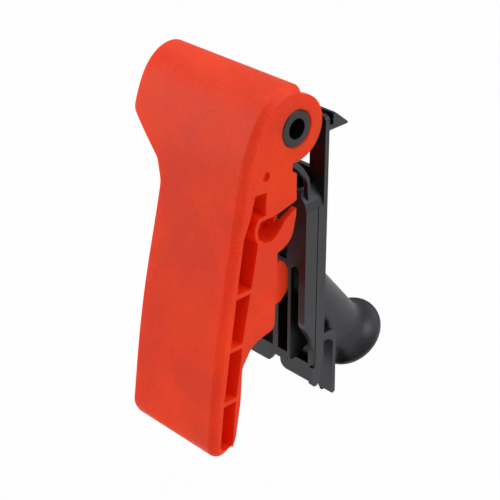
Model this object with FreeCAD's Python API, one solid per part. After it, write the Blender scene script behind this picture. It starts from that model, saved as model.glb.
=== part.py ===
"""Hood release handle: a hollow moulded lever on a hollow pivot pin, carried by a moulded
bracket with panel hooks, a spring stop and a bell-mouthed guide for the release cable.

Everything is modelled about the pivot axis, which runs along X. The lever's right face is
X = 0, forwards (towards the driver) is -Y and up is +Z. At the end the pieces are shifted,
so that the origin lies on the bracket's rear face, where it meets the panel.
"""
import FreeCAD, Part
import math
import os

from FreeCAD import Vector

# Driving dimensions, lever
grip_width_top = 37.0
grip_flare = 3.0
grip_width_bottom = grip_width_top + grip_flare
head_overhang = 20.4
head_width = grip_width_top + head_overhang
head_taper = 3.0
lever_bottom = 110.3
skin = 2.2
side_wall = 2.2
edge_radius = 3.0
boss_radius = 11.4
boss_depth = 3.0
tray_depth = 6.0
tray_wall = 1.6
rib = 1.5
flange = 4.3
grip_corner_radius = 5.0
gate_mark_radius = 1.65
gate_mark_depth = 1.2
stop_notch_radius = 2.0

# Driving dimensions, nipple seat of the cable
seat_y = -11.7
seat_z = -30.5
seat_radius = 5.3
seat_flat = 3.3
seat_wall = 1.3
seat_depth = 7.0
slot_width = 2.4
slot_depth = 3.5

# Driving dimensions, bracket
bracket_width = 36.0
panel_y = 15.0
plate = 1.8
frame_front = 5.1
lower_front = 10.4
side_thickness = 3.0
front_wall = 1.5
frame_top = 0.0
frame_bottom = 94.9
window_top = 4.5
window_bottom = 19.8
window_margin = 6.9
cheek_top = 24.6
cheek_slope_width = 4.3
cheek_slope_height = 7.2
ear_thickness = 2.2
ear_gap = 0.4
ear_radius = 9.0

# Driving dimensions, pivot pin: it reaches from the lever's right face to its inner left wall
side_play = 1.0
pin_length = bracket_width + side_play
pin_radius = 6.2
pin_bore_radius = 3.5
running_clearance = 0.06
seat_clearance = 0.02
bore_mouth = 0.4

# Driving dimensions, cable guide
guide_x = -9.75
guide_end_y = 38.1
guide_end_z = -95.2
guide_drop_angle = 50.5
guide_radius = 8.6
guide_wall = 1.8
guide_seat_depth = 28.0
wire_hole_radius = 5.0
mouth_radius = 13.2
mouth_flare = 7.6
rim = 1.6

# Driving dimensions, front openings of the frame and the ledge below them
slot_bottom = 88.4
slot_left = -12.5
divider_left = -8.0
divider_right = -6.6
wall_left = -15.0
ledge_height = 3.6
ledge_lip = 7.3
ledge_lip_right = -16.6
floor = 1.8
deck = 1.7
foot_lip = 5.5
foot_lip_left = -16.6
foot_lip_thickness = 1.5
foot_radius = 4.2
heel_width = 1.7
heel_drop = 6.9

# Driving dimensions, panel hooks and clips
hook_width = 7.0
hook_reach = 8.7
hook_height = 5.8
hook_slot = 1.7
clip_width = 6.5
clip_reach = 6.5
clip_leg = 1.7
clip_above_foot = 13.4
clip_length = 27.3
left_clip_width = 4.9
left_clip_shorter = 1.7
bead_radius = 0.9

# The origin of the finished part, seen from the pivot
reference_drop = 27.0
reference = Vector(-bracket_width / 2, panel_y, -reference_drop)

# Tools that cut or trim reach past the whole object, and behind the lever's boss
beyond = 60.0
behind = 30.0


def unit(a, b):
    """Unit vector from point a to point b, both given as pairs or corners."""
    length = math.hypot(b[0] - a[0], b[1] - a[1])
    return (b[0] - a[0]) / length, (b[1] - a[1]) / length


def path(corners, place, closed):
    """Edges through (u, v) or (u, v, radius) corners, each radius a tangent arc."""
    count = len(corners)
    stops = []
    for i, corner in enumerate(corners):
        here = corner[:2]
        radius = corner[2] if len(corner) > 2 else 0.0
        if radius == 0.0:
            stops.append([here])
            continue
        back = unit(here, corners[i - 1])
        ahead = unit(here, corners[(i + 1) % count])
        half = math.acos(back[0] * ahead[0] + back[1] * ahead[1]) / 2
        middle = unit((0, 0), (back[0] + ahead[0], back[1] + ahead[1]))
        reach = radius / math.tan(half)
        depth = radius / math.sin(half) - radius
        steps = [(back, reach), (middle, depth), (ahead, reach)]
        stops.append([(here[0] + way[0] * far, here[1] + way[1] * far) for way, far in steps])
    edges = []
    for i, stop in enumerate(stops):
        if len(stop) == 3:
            edges.append(Part.Arc(*[place(*p) for p in stop]).toShape())
        if i + 1 == count and not closed:
            break
        start = place(*stop[-1])
        end = place(*stops[(i + 1) % count][0])
        if start.distanceToPoint(end) > 1e-6:
            edges.append(Part.makeLine(start, end))
    return edges


def rounded(corners, place):
    return Part.Wire(path(corners, place, True))


def side_slab(corners, x0, x1):
    """A side-view (Y, Z) outline, solid from x0 to x1."""
    wire = rounded(corners, lambda y, z: Vector(x0, y, z))
    return Part.Face(wire).extrude(Vector(x1 - x0, 0, 0))


def front_slab(corners, y0, y1):
    """A front-view (X, Z) outline, solid from y0 to y1."""
    wire = rounded(corners, lambda x, z: Vector(x, y0, z))
    return Part.Face(wire).extrude(Vector(0, y1 - y0, 0))


def block(x0, x1, y0, y1, z0, z1):
    return Part.makeBox(x1 - x0, y1 - y0, z1 - z0, Vector(x0, y0, z0))


def drum(radius, x0, x1, y=0.0, z=0.0):
    """A round bar along X."""
    return Part.makeCylinder(radius, x1 - x0, Vector(x0, y, z), Vector(1, 0, 0))


def mirrored(shape):
    """The same form on the bracket's other side."""
    return shape.mirror(Vector(-bracket_width / 2, 0, 0), Vector(1, 0, 0))


# The lever's front line in the side view: over the head, down the grip and round the foot
front_stations = [
    (1.5, 13.9), (-3.2, 14.6), (-8.5, 13.1), (-13.7, 9.1), (-17.6, 3.4), (-20.4, -2.6),
    (-22.3, -8.5), (-24.3, -18.0), (-26.5, -30.0), (-31.9, -57.0), (-35.6, -83.0), (-37.5, -102.0),
]
foot_stations = [(-37.4, -106.2), (-35.2, -109.4), (-31.9, -lever_bottom + 0.1), (-28.6, -108.6)]

# The lever's rear edge in the side view, from the foot up to the stop notch
rear_corners = [
    (-28.6, -108.6), (-26.9, -104.0), (-24.7, -91.0), (-23.9, -78.5, 6.0), (-19.0, -71.2, 8.0),
    (-9.2, -69.2, 2.5), (-8.1, -41.0, 1.0), (-2.0, -40.6, 7.5), (0.3, -30.0), (0.3, -15.0), (-1.6, -13.0),
]


def front_line(x, stations):
    curve = Part.BSplineCurve()
    curve.interpolate([Vector(x, y, z) for y, z in stations])
    return curve


def front_normal(curve, point):
    """Outward normal of the curved front, seen from the side."""
    along = curve.tangent(curve.parameter(Vector(curve.StartPoint.x, point.y, point.z)))[0]
    return Vector(0, along.z, -along.y)


def behind_front(inset, corners, x0, x1):
    """Solid between the front line, moved in by inset, and further side-view corners."""
    outer = front_line(x0, front_stations)
    points = [Vector(x0, y, z) for y, z in front_stations]
    moved = [point - front_normal(outer, point) * inset for point in points]
    curve = Part.BSplineCurve()
    curve.interpolate(moved)
    stops = [moved[-1]] + [Vector(x0, y, z) for y, z in corners] + [moved[0]]
    lines = [Part.makeLine(a, b) for a, b in zip(stops, stops[1:])]
    wire = Part.Wire([curve.toShape()] + lines)
    return Part.Face(wire).extrude(Vector(x1 - x0, 0, 0))


def lever_side_outline(x0, x1):
    """The lever's whole side view as a solid: front line, foot, stepped rear edge and boss."""
    front = front_line(x0, front_stations + foot_stations)
    notch_y = rear_corners[-1][0]
    rim_y, rim_z = front_stations[0]
    boss_low = (notch_y, -math.sqrt(boss_radius ** 2 - notch_y ** 2))
    boss_high = (rim_y, math.sqrt(boss_radius ** 2 - rim_y ** 2))

    def place(y, z):
        return Vector(x0, y, z)

    edges = [front.toShape()] + path(rear_corners + [boss_low], place, False)
    edges.append(Part.Arc(place(*boss_low), place(boss_radius, 0), place(*boss_high)).toShape())
    edges.append(Part.makeLine(place(*boss_high), place(rim_y, rim_z)))
    return Part.Face(Part.Wire(edges)).extrude(Vector(x1 - x0, 0, 0))


def front_outline(inset):
    """The lever's front view as (X, Z) corners: a wide head that steps in to the grip."""
    left = -head_width + inset
    foot = -lever_bottom - 3.7
    corner_start = -lever_bottom + 5.8
    return [
        (0.5, 20.0), (left, 20.0), (left + head_taper, -3.4 + inset, 4.0),
        (-grip_width_top - 2.8 + inset, -15.5 + inset, 5.0), (-grip_width_top + inset, -22.5, 8.0),
        (-grip_width_bottom + inset, corner_start + inset, grip_corner_radius),
        (-grip_width_bottom + grip_corner_radius + inset, foot + inset), (0.5, foot + inset),
    ]


def soft_edge(stations, radius):
    """Waste strip that leaves a round edge: stations are (point, front normal, side normal)."""
    clear = 0.1
    reach = 0.9
    wires = []
    for point, front, side in stations:
        lean = front.dot(side)
        into_front = (front * lean - side).normalize()
        into_side = (side * lean - front).normalize()
        opening = math.pi - math.acos(lean)
        back = radius / math.tan(opening / 2)
        inwards = (into_front + into_side).normalize()
        crown = point + inwards * (radius / math.sin(opening / 2) - radius)
        on_front = point + into_front * back + front * clear
        on_side = point + into_side * back + side * clear
        rim_front = on_front + front * reach
        rim_side = on_side + side * reach
        corner = point + (front + side) * (reach + clear)
        stops = [on_side, rim_side, corner, rim_front, on_front]
        lines = [Part.makeLine(a, b) for a, b in zip(stops, stops[1:])]
        wires.append(Part.Wire([Part.Arc(on_front, crown, on_side).toShape()] + lines))
    return Part.makeLoft(wires, True, False)


def lengthened(stations):
    """The stations with one more past each end, so that the strip runs out of the solid."""
    first, second = stations[0], stations[1]
    last, before = stations[-1], stations[-2]
    lead = (first[0] - second[0]).normalize()
    tail = (last[0] - before[0]).normalize()
    return [(first[0] + lead,) + first[1:]] + stations + [(last[0] + tail,) + last[1:]]


def right_edge_stations(curve, count):
    stations = []
    for i in range(count + 1):
        share = i / count
        point = curve.value(curve.FirstParameter + (curve.LastParameter - curve.FirstParameter) * share)
        stations.append((Vector(0, point.y, point.z), front_normal(curve, point), Vector(1, 0, 0)))
    return lengthened(stations)


def left_edge_stations(curve, blank):
    """Stations along the edges that bound the curved front on the left, from head to foot."""
    curved = [f for f in blank.Faces if "Extrusion" in f.Surface.TypeId or "BSpline" in f.Surface.TypeId]
    front = max(curved, key=lambda f: f.Area)
    edges = [e for e in front.OuterWire.Edges if e.BoundBox.XMax < -30.0 and e.BoundBox.XLength < 30.0]
    edges.sort(key=lambda e: -e.CenterOfMass.z)
    stations = []
    for edge in edges:
        count = max(2, round(edge.Length / (9.0 if edge.Length > 25.0 else 4.0)))
        span = edge.LastParameter - edge.FirstParameter
        marks = [edge.FirstParameter + span * i / count for i in range(count + 1)]
        marks.sort(key=lambda t: -edge.valueAt(t).z)
        for mark in marks:
            point = edge.valueAt(mark)
            along = edge.tangentAt(mark)
            side = Vector(-abs(along.z), 0, math.copysign(along.x, -along.z * along.x) if along.x else 0.0)
            if not stations or point.distanceToPoint(stations[-1][0]) > 0.5:
                stations.append((point, front_normal(curve, point), side.normalize()))
    return lengthened(stations)


# The open cells' outline in the side view, down behind the front and up along the rear
pocket_corners = [
    (-18.1, -17.4, 0.6), (-20.2, -24.5), (-23.1, -31.0), (-25.9, -48.4), (-29.2, -69.3), (-32.2, -88.8),
    (-34.2, -107.2, 2.0), (-28.4, -107.2, 2.0), (-26.7, -89.5), (-24.4, -75.6), (-23.8, -69.2),
    (-19.9, -50.6), (-18.1, -41.7), (-17.0, -35.6), (-13.6, -29.0), (-13.4, -23.0), (-13.0, -17.6, 0.6),
]
rib_levels = [-50.7, -69.6, -89.2]
stiffener_rears = [-24.5, -28.0, -31.0]
tray_rear = [
    (-26.6, -108.0), (-25.1, -89.3), (-22.8, -75.5), (-22.2, -69.0), (-18.3, -50.4),
    (-16.5, -41.6), (-15.4, -35.6), (-11.5, -29.0), (-11.4, -16.0), (-15.0, -15.8),
]


def seat_form(grow, x0, x1):
    """The seat's D-shaped outline, grown by a wall, as a solid between two planes."""
    round_part = drum(seat_radius + grow, x0, x1, seat_y, seat_z)
    size = 2 * (seat_radius + grow)
    flat = block(x0 - 1, x1 + 1, seat_y - size, seat_y + size, seat_z + seat_flat + grow, seat_z + size)
    return round_part.cut(flat)


def lever_pockets():
    """The open cells in the lever's right side, split by thin ribs and clear of the seat's wall."""
    pocket = side_slab(pocket_corners, -tray_depth, 1.0)
    ribs = [block(-tray_depth, 1.0, -40.0, 0.0, z - rib / 2, z + rib / 2) for z in rib_levels]
    return pocket.cut(Part.makeCompound(ribs)).cut(seat_form(seat_wall, -tray_depth - 1.0, 2.0))


def nipple_seat():
    """D-shaped blind seat for the cable's end, and the slot that leads the cable to the rear."""
    slot = side_slab([
        (2.0, -27.0 + slot_width), (2.0, -27.0), (-2.1, -29.1), (-5.3, -30.9, 0.8), (-6.6, -33.0),
        (-9.0, seat_z), (-9.0, seat_z + seat_flat),
    ], -slot_depth, 1.0)
    return seat_form(0.0, -seat_depth, 1.0).fuse(slot)


def make_release_lever():
    blank = lever_side_outline(-head_width, 0.0)
    blank = blank.common(front_slab(front_outline(0.0), -beyond, behind)).Solids[0]
    curve = front_line(-head_width, front_stations + foot_stations)
    right = soft_edge(right_edge_stations(curve, 24), edge_radius)
    left = soft_edge(left_edge_stations(curve, blank), edge_radius - 0.4)
    blank = blank.cut(right).cut(left)

    inside = behind_front(skin, [(-35.2, -lever_bottom + skin), (behind, -lever_bottom + skin),
                                 (behind, front_stations[0][1] - skin)], -head_width, -side_wall)
    inside = inside.common(front_slab(front_outline(skin), -beyond, behind + 1.0))

    tray = side_slab([(y, z) for y, z in tray_rear] + [(-25.0, -16.0), (-40.0, -60.0), (-40.0, -108.5)],
                     -tray_depth - tray_wall, 0.0)
    seat_boss = seat_form(seat_wall, -seat_depth - seat_wall, 0.0)
    heel_web = side_slab([
        (-19.0, -47.0), (0.6, -49.6, 3.5), (3.1, -54.0, 3.0), (3.1, -61.5, 3.0), (-0.5, -65.0, 2.5),
        (-21.0, -67.0),
    ], -tray_depth - tray_wall, -tray_depth)
    bearing = drum(boss_radius - 2.0, -boss_depth, 0.0)
    left_web = lever_side_outline(-pin_length, -pin_length + side_wall)
    left_web = left_web.common(block(-beyond, 0.0, -beyond, behind, -24.0, behind))
    left_bearing = drum(boss_radius - 2.0, -pin_length, -pin_length + boss_depth)
    stiffeners = [
        behind_front(skin - 0.2, [(-10.0, -102.0), (-10.0, 13.4)], -grip_width_bottom + 1.0, -tray_depth)
        .common(block(-beyond, 0.0, -beyond, rear, z - rib / 2, z + rib / 2))
        .common(front_slab(front_outline(1.0), -beyond, behind))
        for z, rear in zip(rib_levels, stiffener_rears)
    ]
    hollow = inside.cut(Part.makeCompound([tray, seat_boss]))
    hollow = hollow.cut(heel_web).cut(bearing).cut(left_web).cut(left_bearing)
    hollow = hollow.cut(Part.makeCompound(stiffeners))
    lever = blank.cut(hollow)
    lever = lever.fuse(heel_web)

    stop_notch = drum(stop_notch_radius, -side_wall - 1.0, 1.0, 0.3, -13.4)
    gate_mark = drum(gate_mark_radius, -gate_mark_depth, 1.0, -13.4, -12.2)
    bore = drum(pin_radius + running_clearance, -head_width + 1.0, 1.0)
    bore = bore.common(block(-pin_length - 0.5, 1.0, -beyond, beyond, -beyond, beyond))
    mouth = drum(pin_radius + bore_mouth, -bore_mouth, 1.0)
    cuts = [lever_pockets(), nipple_seat(), stop_notch, gate_mark, bore, mouth]
    for tool in cuts:
        lever = lever.cut(tool)
    return lever.removeSplitter()


def make_pivot_pin():
    """Hollow pin, its ends lightly chamfered."""
    pin = drum(pin_radius, -pin_length, 0.0)
    ends = [e for e in pin.Edges if e.BoundBox.XLength < 0.01]
    pin = pin.makeChamfer(0.35, ends)
    return pin.cut(drum(pin_bore_radius, -pin_length - 1.0, 1.0))


def foot_rounding():
    """Waste that rounds the bracket's lower rear edge."""
    middle_y = panel_y - foot_radius
    middle_z = -frame_bottom + foot_radius
    corner = block(-beyond, beyond, middle_y, panel_y + 1, -frame_bottom - 1, middle_z)
    return corner.cut(drum(foot_radius, -beyond - 1, beyond + 1, middle_y, middle_z))


def bracket_plate():
    """Rear plate of the bracket with the see-through window above the cross-member."""
    rear = panel_y
    front = rear - plate
    sheet = front_slab([(0.0, -frame_bottom), (0.0, frame_top, 1.8), (-bracket_width, frame_top, 1.8),
                        (-bracket_width, -frame_bottom)], front, rear)
    window = block(-bracket_width + window_margin, -window_margin, front - 1, rear + 1,
                   -window_bottom, -window_top)
    return sheet.cut(window).cut(foot_rounding())


def bracket_cheek():
    """Side wall of the frame: swept back above the foot, its thickened top sloped inwards."""
    wall = side_slab([
        (frame_front, -cheek_top), (panel_y, -cheek_top), (panel_y, -frame_bottom, foot_radius),
        (lower_front, -frame_bottom), (lower_front, -84.4, 7.0), (frame_front, -75.4, 6.0),
    ], -side_thickness, 0.0)
    shoulder = block(-cheek_slope_width - 0.6, 0.0, frame_front, panel_y - plate,
                     -cheek_top - cheek_slope_height - 2.0, -cheek_top)
    slope = front_slab([
        (0.1, -cheek_top + 0.1), (0.1, -cheek_top - cheek_slope_height),
        (0.0, -cheek_top - cheek_slope_height), (-0.9, -cheek_top - 3.9, 4.0),
        (-cheek_slope_width, -cheek_top + 0.1),
    ], frame_front - 1, panel_y - plate)
    groove = block(-0.35, 0.1, lower_front + 0.15, lower_front + 0.5, -frame_bottom, -cheek_top)
    return wall.fuse(shoulder).cut(slope).cut(groove)


def bracket_ear(x_outer):
    """Ear that carries the pivot pin, from the plate's upright forward."""
    x_inner = x_outer - ear_thickness
    arm = side_slab([(0.0, ear_radius), (4.0, 8.1), (panel_y - plate, -1.0), (panel_y - plate, -10.5),
                     (0.0, -ear_radius)], x_inner, x_outer)
    ring = drum(ear_radius, x_inner, x_outer)
    bore = drum(pin_radius + seat_clearance, x_inner - 1, x_outer + 1)
    return arm.fuse(ring).cut(bore)


def stop_tongue():
    """Thin curved finger on the cheek's top, which stops the lever at rest in its notch."""
    tongue_root = -cheek_top - 5.0
    return side_slab([
        (-0.4, -12.2, 0.4), (1.1, -11.9, 0.6), (4.6, -15.6, 5.0), (7.6, -20.3, 5.0), (8.4, tongue_root),
        (7.0, tongue_root), (6.5, -20.9, 4.0), (3.4, -16.6, 5.0), (0.0, -13.6, 0.5),
    ], -side_thickness, -1.2)


def guide_direction():
    angle = math.radians(guide_drop_angle)
    return Vector(0, math.cos(angle), -math.sin(angle))


def guide_solids():
    """Outer body and stepped bore of the bell-mouthed cable guide, turned about its sloping axis."""
    end = Vector(guide_x, guide_end_y, guide_end_z)
    length = (guide_end_y - frame_front) / guide_direction().y + guide_radius
    bore_radius = guide_radius - guide_wall
    across = Vector(1, 0, 0)
    along = guide_direction()

    def at(radius, station):
        return end + across * radius + along * station

    def turned(radius, grow, past, back):
        neck = -mouth_flare - rim
        middle = at(radius + grow * 0.26, neck + mouth_flare * 0.62)
        flare = Part.Arc(at(radius, neck), middle, at(radius + grow, -rim)).toShape()
        stops = [at(radius + grow, -rim), at(radius + grow, past), at(0, past), at(0, back),
                 at(radius, back), at(radius, neck)]
        lines = [Part.makeLine(a, b) for a, b in zip(stops, stops[1:])]
        return Part.Face(Part.Wire([flare] + lines)).revolve(end, along, 360)

    outer = turned(guide_radius, mouth_radius - guide_radius, 0.0, -length)
    circles = [e for e in outer.Edges if e.Curve.TypeId == "Part::GeomCircle"]
    outer = outer.makeFillet(0.5, [e for e in circles if abs(e.Curve.Radius - mouth_radius) < 0.01])
    seat = turned(bore_radius, mouth_radius - guide_radius + guide_wall * 0.3, 1.0, -guide_seat_depth)
    wire_hole = Part.makeCylinder(wire_hole_radius, length, at(0, -length), along)
    return outer, seat, wire_hole


def front_openings():
    """Two upright slots and the cable's entry, cut into the frame's closed front."""
    back = panel_y - plate
    slot = front_slab([(slot_left, -slot_bottom, 1.0), (slot_left, -57.0, 2.2), (divider_left, -57.0, 2.2),
                       (divider_left, -slot_bottom)], frame_front - 1, back)
    side_slot = front_slab([(divider_right, -frame_bottom + deck), (divider_right, -53.3, 1.7),
                            (-side_thickness, -53.3, 1.7), (-side_thickness, -frame_bottom + deck)],
                           frame_front - 1, back)
    entry = front_slab([(-14.8, -52.0, 1.2), (-14.8, -45.0, 1.2), (-8.6, -45.0, 1.2), (-8.6, -52.0, 1.2)],
                       frame_front - 1, back)
    return [slot, side_slot, entry]


def bracket_front():
    """Closed front above the slots, with the two walls beside the main slot and the divider's foot."""
    back = panel_y - plate + 0.3
    inner = -bracket_width + side_thickness
    sheet = block(inner - 0.5, -side_thickness + 0.5, frame_front, frame_front + front_wall,
                  -54.6, -cheek_top)
    left = block(wall_left, slot_left, frame_front, back, -slot_bottom - 0.5, -53.0)
    divider = side_slab([(frame_front, -53.0), (back, -53.0), (back, -84.0), (11.2, -91.2, 4.0),
                         (frame_front, -91.2, 0.8)], divider_left, divider_right)
    nub = block(divider_right - 0.2, divider_right + 1.2, frame_front + 0.4, frame_front + 2.2,
                -84.6, -78.2)
    return [sheet, left, divider, nub]


def bracket_foot():
    """Ledge and floor at the slots' lower end, the deck under the frame, its lip and the heel."""
    inner = -bracket_width + side_thickness
    ledge = front_slab([
        (divider_left, -slot_bottom), (divider_left, -slot_bottom - ledge_height, 0.8),
        (ledge_lip_right + 2.4, -slot_bottom - ledge_height, 1.0),
        (ledge_lip_right, -slot_bottom - ledge_lip, 1.5), (inner + 1.0, -slot_bottom - ledge_lip, 1.5),
        (inner + 1.0, -slot_bottom),
    ], frame_front, frame_front + front_wall)
    floor_solid = block(inner - 0.5, divider_left, frame_front + 0.5, panel_y - 0.5,
                        -slot_bottom - floor, -slot_bottom)
    deck_solid = block(-bracket_width + 0.5, -0.5, lower_front, panel_y,
                       -frame_bottom, -frame_bottom + deck)
    deck_solid = deck_solid.cut(foot_rounding())
    lip = front_slab([
        (-0.3, -frame_bottom - foot_lip), (-0.3, -frame_bottom + deck),
        (foot_lip_left, -frame_bottom + deck), (foot_lip_left, -frame_bottom - foot_lip, 3.2),
    ], lower_front, lower_front + foot_lip_thickness)
    heel = side_slab([
        (lower_front - 0.8, -frame_bottom + 1.2),
        (lower_front - 0.8, -frame_bottom - heel_drop + 1.3, 0.6),
        (lower_front + 0.4, -frame_bottom - heel_drop, 0.8),
        (lower_front + 2.4, -frame_bottom - heel_drop, 1.5),
        (lower_front + 3.2, -frame_bottom - 3.0), (lower_front + 3.6, -frame_bottom + 1.2),
    ], -heel_width, 0.0)
    return [ledge, floor_solid, deck_solid, lip, heel]


def panel_hook():
    """Ramped hook behind the plate's top corner, with the slot that takes the panel's edge."""
    base = -hook_height + 0.6
    return side_slab([
        (panel_y - 0.5, base), (panel_y + hook_reach, base + 0.1, 0.3),
        (panel_y + hook_reach - 0.3, base + 0.9, 0.5), (panel_y + 2.4, 0.6), (panel_y + hook_slot, 0.4),
        (panel_y + hook_slot, -3.4), (panel_y - 0.5, -3.4),
    ], -hook_width, 0.0)


def panel_clip(width, length):
    """Spring clip behind the plate's foot: an arch with one long leg."""
    back = panel_y + clip_reach
    top = -frame_bottom + clip_above_foot
    bottom = top - length
    return side_slab([
        (panel_y - 0.5, top), (back - 0.5, top - 0.2, 2.8), (back, bottom + 0.4, 0.5),
        (back - clip_leg, bottom, 0.4), (back - clip_leg - 0.1, top - 3.4, 2.2), (panel_y - 0.5, top - 3.2),
    ], -width, 0.0)


def clip_bead():
    """Small bead at the end of the right clip's leg."""
    bottom = -frame_bottom + clip_above_foot - clip_length
    leg_y = panel_y + clip_reach - clip_leg
    centre = Vector(-clip_width + bead_radius, leg_y + bead_radius, bottom - 0.3)
    return Part.makeSphere(bead_radius, centre)


def make_bracket():
    outer, seat, wire_hole = guide_solids()
    outer = outer.cut(block(-beyond, beyond, -beyond, frame_front, -2 * beyond, beyond))
    both = [bracket_cheek(), panel_hook()]
    both += [mirrored(piece) for piece in both]
    clips = [panel_clip(clip_width, clip_length), clip_bead(),
             mirrored(panel_clip(left_clip_width, clip_length - left_clip_shorter))]
    inset = boss_depth + ear_gap
    ears = [bracket_ear(-inset), bracket_ear(-pin_length + inset + ear_thickness)]
    pieces = both + clips + ears + [stop_tongue(), outer]
    pieces += bracket_front() + bracket_foot()
    solid = bracket_plate().multiFuse(pieces)
    cheek_zone = block(-side_thickness, 0.0, frame_front, panel_y, -frame_bottom, -cheek_top)
    front_zone = block(-beyond, beyond, -beyond, frame_front + front_wall, -2 * beyond, beyond)
    solid = solid.cut(seat.cut(cheek_zone)).cut(wire_hole.cut(front_zone))
    for opening in front_openings():
        solid = solid.cut(opening)
    return solid.removeSplitter()


def main():
    os.makedirs("parts", exist_ok=True)
    nodes = {
        "release_lever": make_release_lever(),
        "pivot_pin": make_pivot_pin(),
        "bracket": make_bracket(),
    }
    for name, shape in nodes.items():
        shape.translate(-reference)
        box = shape.BoundBox
        print(name, shape.ShapeType, len(shape.Solids), "valid", shape.isValid(),
              "volume", round(shape.Volume, 1))
        print("  from", round(box.XMin, 2), round(box.YMin, 2), round(box.ZMin, 2),
              "to", round(box.XMax, 2), round(box.YMax, 2), round(box.ZMax, 2))
        shape.exportStep("parts/" + name + ".step")


main()
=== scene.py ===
# %% [markdown]
# # Hood release handle
# The object is the small pull handle that unlatches a car's hood. It has three pieces: a red hollow
# lever, a hollow pin that it turns on, and a black bracket that snaps into the car's side panel and
# guides the cable away. Their shapes come from engineering solids that already hold every wall, rib
# and opening, so this lesson is about materials, light and the camera.

# %% Load the engineered frame
import math

import bpy
from mathutils import Matrix, Vector

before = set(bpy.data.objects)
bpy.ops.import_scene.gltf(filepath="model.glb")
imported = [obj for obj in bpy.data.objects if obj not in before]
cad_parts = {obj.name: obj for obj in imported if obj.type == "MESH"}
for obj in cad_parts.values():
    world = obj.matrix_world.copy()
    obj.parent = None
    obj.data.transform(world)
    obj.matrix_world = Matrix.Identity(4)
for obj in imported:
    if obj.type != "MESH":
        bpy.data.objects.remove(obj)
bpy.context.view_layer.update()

MM = 0.001
print("nodes:", sorted(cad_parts))

# %% [markdown]
# ## Camera
# The picture was taken from the lever's open side, a little above, with a long lens, so that the
# handle shows hardly any perspective. A camera could be turned by hand until the picture fits, but
# three unit vectors say it exactly: where its right, its top and its back point. Its place follows
# from its distance to the pivot and from how far the pivot lies off the middle of the picture.

# %% Camera at the photograph's viewing angle
AZIMUTH = math.radians(46.1)
ELEVATION = math.radians(28.7)
LENS_MM = 108.0
SENSOR_MM = 36.0
DISTANCE_MM = 469.0
PIVOT_MM = Vector((18.0, -15.0, 27.0))
PIVOT_RIGHT_MM = 14.7
PIVOT_UP_MM = 37.83

camera_right = Vector((math.cos(AZIMUTH), math.sin(AZIMUTH), 0.0))
camera_back = Vector((
    math.sin(AZIMUTH) * math.cos(ELEVATION),
    -math.cos(AZIMUTH) * math.cos(ELEVATION),
    math.sin(ELEVATION),
))
camera_up = camera_back.cross(camera_right)
camera_place = PIVOT_MM + camera_back * DISTANCE_MM
camera_place -= camera_right * PIVOT_RIGHT_MM + camera_up * PIVOT_UP_MM

scene = bpy.context.scene
camera = bpy.data.objects.new("camera", bpy.data.cameras.new("camera"))
scene.collection.objects.link(camera)
turn = Matrix((camera_right, camera_up, camera_back)).transposed().to_4x4()
camera.matrix_world = Matrix.Translation(camera_place * MM) @ turn
camera.data.lens = LENS_MM
camera.data.sensor_width = SENSOR_MM
scene.camera = camera
print("camera at", [round(v) for v in camera_place], "mm")

# %% [markdown]
# ## Small helpers
# Colours are written as sRGB hex, as a paint chart gives them, and one function turns them into the
# linear numbers that the renderer adds up. A second function adds a shader node, sets what it is
# told and links its inputs, so that each material reads as a short list. A third one starts an
# empty material.

# %% Colour and node helpers
def colour(hex_code):
    """sRGB hex, such as '#E0301A', as linear RGBA."""
    parts = [int(hex_code[i:i + 2], 16) / 255 for i in (1, 3, 5)]
    linear = [c / 12.92 if c <= 0.04045 else ((c + 0.055) / 1.055) ** 2.4 for c in parts]
    return (*linear, 1.0)


def add(tree, kind, settings=None, **inputs):
    """Adds a node; each input is a value, or an output socket to link, and _0 is the first one."""
    new = tree.nodes.new(kind)
    for key, value in (settings or {}).items():
        setattr(new, key, value)
    for key, value in inputs.items():
        spot = int(key[1:]) if key[0] == "_" else key.replace("_", " ")
        if isinstance(value, bpy.types.NodeSocket):
            tree.links.new(value, new.inputs[spot])
        else:
            new.inputs[spot].default_value = value
    return new


def empty_material(name):
    """A new material without nodes, and its node tree."""
    material = bpy.data.materials.new(name)
    material.use_nodes = True
    material.node_tree.nodes.clear()
    return material, material.node_tree


print("a signal red as linear numbers:", [round(c, 3) for c in colour("#E0301A")])

# %% [markdown]
# ## Moulded plastic
# Lever and bracket are injection-moulded nylon, and the pin is acetal. The steel mould was
# spark-eroded, which leaves a fine grain that breaks up reflections, and the melt leaves faint
# cloudy flow marks as it cools. Pictures of such surfaces could be wrapped round the pieces, but a
# pattern that is worked out in space has no seams and fits any shape. Two noises do it: a coarse one
# for the clouds, which shifts colour and gloss, and a fine one for the grain, which is a small bump
# and also flickers in the colour. The photograph is too coarse to measure the real grain, which is
# taken as a fraction of a millimetre wide. On lever and bracket it is drawn as coarse as it needs to
# show, 0.9 mm, because anything finer is lost between the pixels of this picture.
#
# One function makes all three, because only the numbers differ. The red is milky, so light soaks in
# and brightens the cells between its ribs, and red light travels furthest in it. Neither black lets
# light in, and the bracket's reflects with a slightly cool tone.

# %% Recipe for moulded plastic
# The noises stay near their middle, 0.5, so colour and gloss run over that middle part alone
TINT_FROM, TINT_TO = 0.36, 0.66
GLOSS_FROM, GLOSS_TO = 0.3, 0.7
# How far red, green and blue light travel inside the milky plastic
SOAK_MM = (5.0, 0.3, 0.1)


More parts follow.
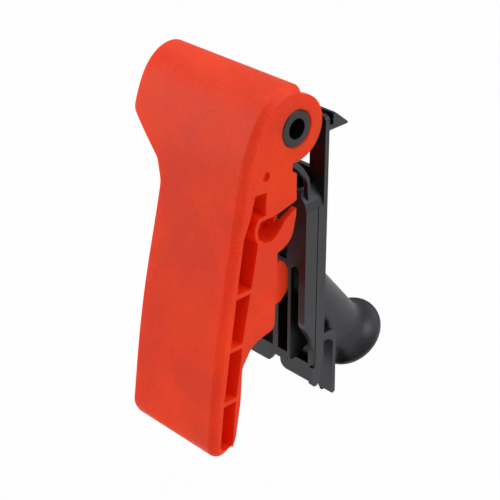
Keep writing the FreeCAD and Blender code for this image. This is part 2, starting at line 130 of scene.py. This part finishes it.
def moulded(name, light, dark, roughness, gloss_change, grain_mm, grain_depth_mm, cloud_mm,
            ior=1.53, speckle=0.3, shine=0.5, glance="#FFFFFF", milkiness=0.0):
    """Grained plastic between two colours; widths and depths of its patterns are in mm."""
    material, tree = empty_material(name)
    place = add(tree, "ShaderNodeTexCoord").outputs["Object"]
    clouds = add(tree, "ShaderNodeTexNoise", {"noise_dimensions": "3D"},
                 Vector=place, Scale=1.0 / (cloud_mm * MM), Detail=3.0, Roughness=0.55)
    grain = add(tree, "ShaderNodeTexNoise", {"noise_dimensions": "3D"},
                Vector=place, Scale=1.0 / (grain_mm * MM), Detail=2.0, Roughness=0.6)
    pattern = add(tree, "ShaderNodeMath", {"operation": "MULTIPLY_ADD"},
                  _0=grain.outputs["Fac"], _1=speckle, _2=clouds.outputs["Fac"])
    tint = add(tree, "ShaderNodeValToRGB", Fac=pattern.outputs[0])
    # The grain adds half of its speckle on average, so the stops move up by as much
    stops = ((TINT_FROM, dark), (TINT_TO, light))
    for stop, (position, hex_code) in zip(tint.color_ramp.elements, stops):
        stop.position = position + speckle / 2
        stop.color = colour(hex_code)
    gloss = add(tree, "ShaderNodeMapRange", Value=clouds.outputs["Fac"],
                From_Min=GLOSS_FROM, From_Max=GLOSS_TO,
                To_Min=roughness - gloss_change, To_Max=roughness + gloss_change)
    relief = add(tree, "ShaderNodeBump", Height=grain.outputs["Fac"],
                 Distance=grain_depth_mm * MM, Strength=1.0)
    plastic = add(tree, "ShaderNodeBsdfPrincipled", Base_Color=tint.outputs["Color"],
                  Roughness=gloss.outputs["Result"], Normal=relief.outputs["Normal"], IOR=ior,
                  Specular_IOR_Level=shine, Specular_Tint=colour(glance),
                  Subsurface_Weight=milkiness, Subsurface_Radius=SOAK_MM, Subsurface_Scale=MM)
    add(tree, "ShaderNodeOutputMaterial", Surface=plastic.outputs["BSDF"])
    return material


# %% The three plastics
# Nylon dyed signal red: warm, cloudy and satin, with little gloss over its milky body
red_nylon = moulded("red_moulded_nylon", "#FC3F08", "#E83404", roughness=0.50, gloss_change=0.05,
                    grain_mm=0.9, grain_depth_mm=0.045, cloud_mm=22.0,
                    speckle=0.5, shine=0.31, milkiness=0.80)
# Glass-filled nylon in black: the glass fibres raise the IOR, and a grey sheen lies over the black
black_nylon = moulded("black_moulded_nylon", "#131314", "#0D0D0E", roughness=0.42, gloss_change=0.06,
                      grain_mm=0.9, grain_depth_mm=0.030, cloud_mm=12.0, ior=1.59, glance="#F1F4FF")
# Black acetal from a polished mould: smoother than the rest, with hardly any grain
black_acetal = moulded("black_acetal", "#131314", "#0E0E0F", roughness=0.36, gloss_change=0.04,
                       grain_mm=0.5, grain_depth_mm=0.004, cloud_mm=9.0, ior=1.48)
print("materials:", red_nylon.name, black_nylon.name, black_acetal.name)

# %% [markdown]
# ## Dressing the pieces
# Each piece was moulded in one go from one plastic, so each engineered solid keeps its shape and
# takes one material. Nothing is painted on top.

# %% Finish each engineered piece
FINISHES = {"release_lever": red_nylon, "bracket": black_nylon, "pivot_pin": black_acetal}
for name, finish in FINISHES.items():
    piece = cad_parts[name]
    piece.data.materials.clear()
    piece.data.materials.append(finish)
    print(name, "takes", finish.name, "on", len(piece.data.polygons), "triangles")

# %% [markdown]
# ## Paper
# The handle stands out against pure white, as in a catalogue. A white floor under lamps is never
# evenly white, so the paper glows for the camera and in reflections, and only a small share of it
# stays matt paper that takes the handle's shadow. For all other rays it is plain paper, so its glow
# doesn't light the handle from below.

# %% Paper floor
FLOOR_MM = -140.0
FLOOR_HALF_M = 4.0
GLOW_SHARE = 0.94
paper, paper_tree = empty_material("white_paper")
sheet = add(paper_tree, "ShaderNodeBsdfDiffuse", Color=colour("#F2F2F2"))
glow = add(paper_tree, "ShaderNodeEmission", Color=colour("#FFFFFF"), Strength=1.0)
rays = add(paper_tree, "ShaderNodeLightPath")
seen = add(paper_tree, "ShaderNodeMath", {"operation": "MAXIMUM"},
           _0=rays.outputs["Is Camera Ray"], _1=rays.outputs["Is Glossy Ray"])
share = add(paper_tree, "ShaderNodeMath", {"operation": "MULTIPLY"},
            _0=seen.outputs[0], _1=GLOW_SHARE)
blend = add(paper_tree, "ShaderNodeMixShader",
            Fac=share.outputs[0], _1=sheet.outputs[0], _2=glow.outputs[0])
add(paper_tree, "ShaderNodeOutputMaterial", Surface=blend.outputs[0])

floor_mesh = bpy.data.meshes.new("floor")
h, z = FLOOR_HALF_M, FLOOR_MM * MM
floor_mesh.from_pydata([(-h, -h, z), (h, -h, z), (h, h, z), (-h, h, z)], [], [(0, 1, 2, 3)])
floor_mesh.materials.append(paper)
floor = bpy.data.objects.new("floor", floor_mesh)
scene.collection.objects.link(floor)
print("floor at", FLOOR_MM, "mm")

# %% [markdown]
# ## Light
# Three wide lamps light the handle softly: one from the front left, which puts a pale sheen on the
# lever's front, one from behind on the right for its open side and the bracket, and one from above
# for the head. Around the camera it stays darker, so the rounded edge between front and side keeps
# its deep red. The room adds a faint even light, and where the camera looks past the floor, it sees
# the room as white as the paper.

# %% Lamps
AIM_MM = Vector((0.0, -20.0, -15.0))
LAMPS = {
    # name: direction and distance in m from the handle, width and height in m, power in W
    "front_left_lamp": ((-0.72, -0.66, 0.30), 1.3, (1.2, 1.1), 6.2),
    "back_right_lamp": ((0.75, 0.45, 0.55), 1.3, (1.0, 1.0), 7.6),
    "top_lamp": ((-0.10, 0.10, 1.0), 1.2, (1.2, 1.2), 6.5),
}
for name, (direction, distance_m, size_m, power) in LAMPS.items():
    lamp = bpy.data.lights.new(name, "AREA")
    lamp.shape = "RECTANGLE"
    lamp.size, lamp.size_y = size_m
    lamp.energy = power
    holder = bpy.data.objects.new(name, lamp)
    scene.collection.objects.link(holder)
    away = Vector(direction).normalized()
    facing = away.to_track_quat("Z", "Y").to_matrix().to_4x4()
    holder.matrix_world = Matrix.Translation(AIM_MM * MM + away * distance_m) @ facing
    print(name, "at", [round(v, 2) for v in holder.matrix_world.translation], "m,", power, "W")

# %% Room
ROOM_LIGHT = 0.40
world = bpy.data.worlds.new("studio")
scene.world = world
world.use_nodes = True
world.node_tree.nodes.clear()
gaze = add(world.node_tree, "ShaderNodeLightPath").outputs["Is Camera Ray"]
level = add(world.node_tree, "ShaderNodeMapRange", Value=gaze, To_Min=ROOM_LIGHT, To_Max=1.0)
room = add(world.node_tree, "ShaderNodeBackground",
           Color=colour("#FFFFFF"), Strength=level.outputs["Result"])
add(world.node_tree, "ShaderNodeOutputWorld", Surface=room.outputs[0])
scene.view_settings.view_transform = "Standard"
print("room light", ROOM_LIGHT)

# %% [markdown]
# ## Sizes
# The three engineered nodes already ride on their bodies: the lever on its own, the pin with the
# bracket. Nothing was added to the shapes, so the dressed pieces keep the engineered sizes.

# %% Sizes stay as engineered
print("shapes unchanged, so the sizes are the engineered ones")
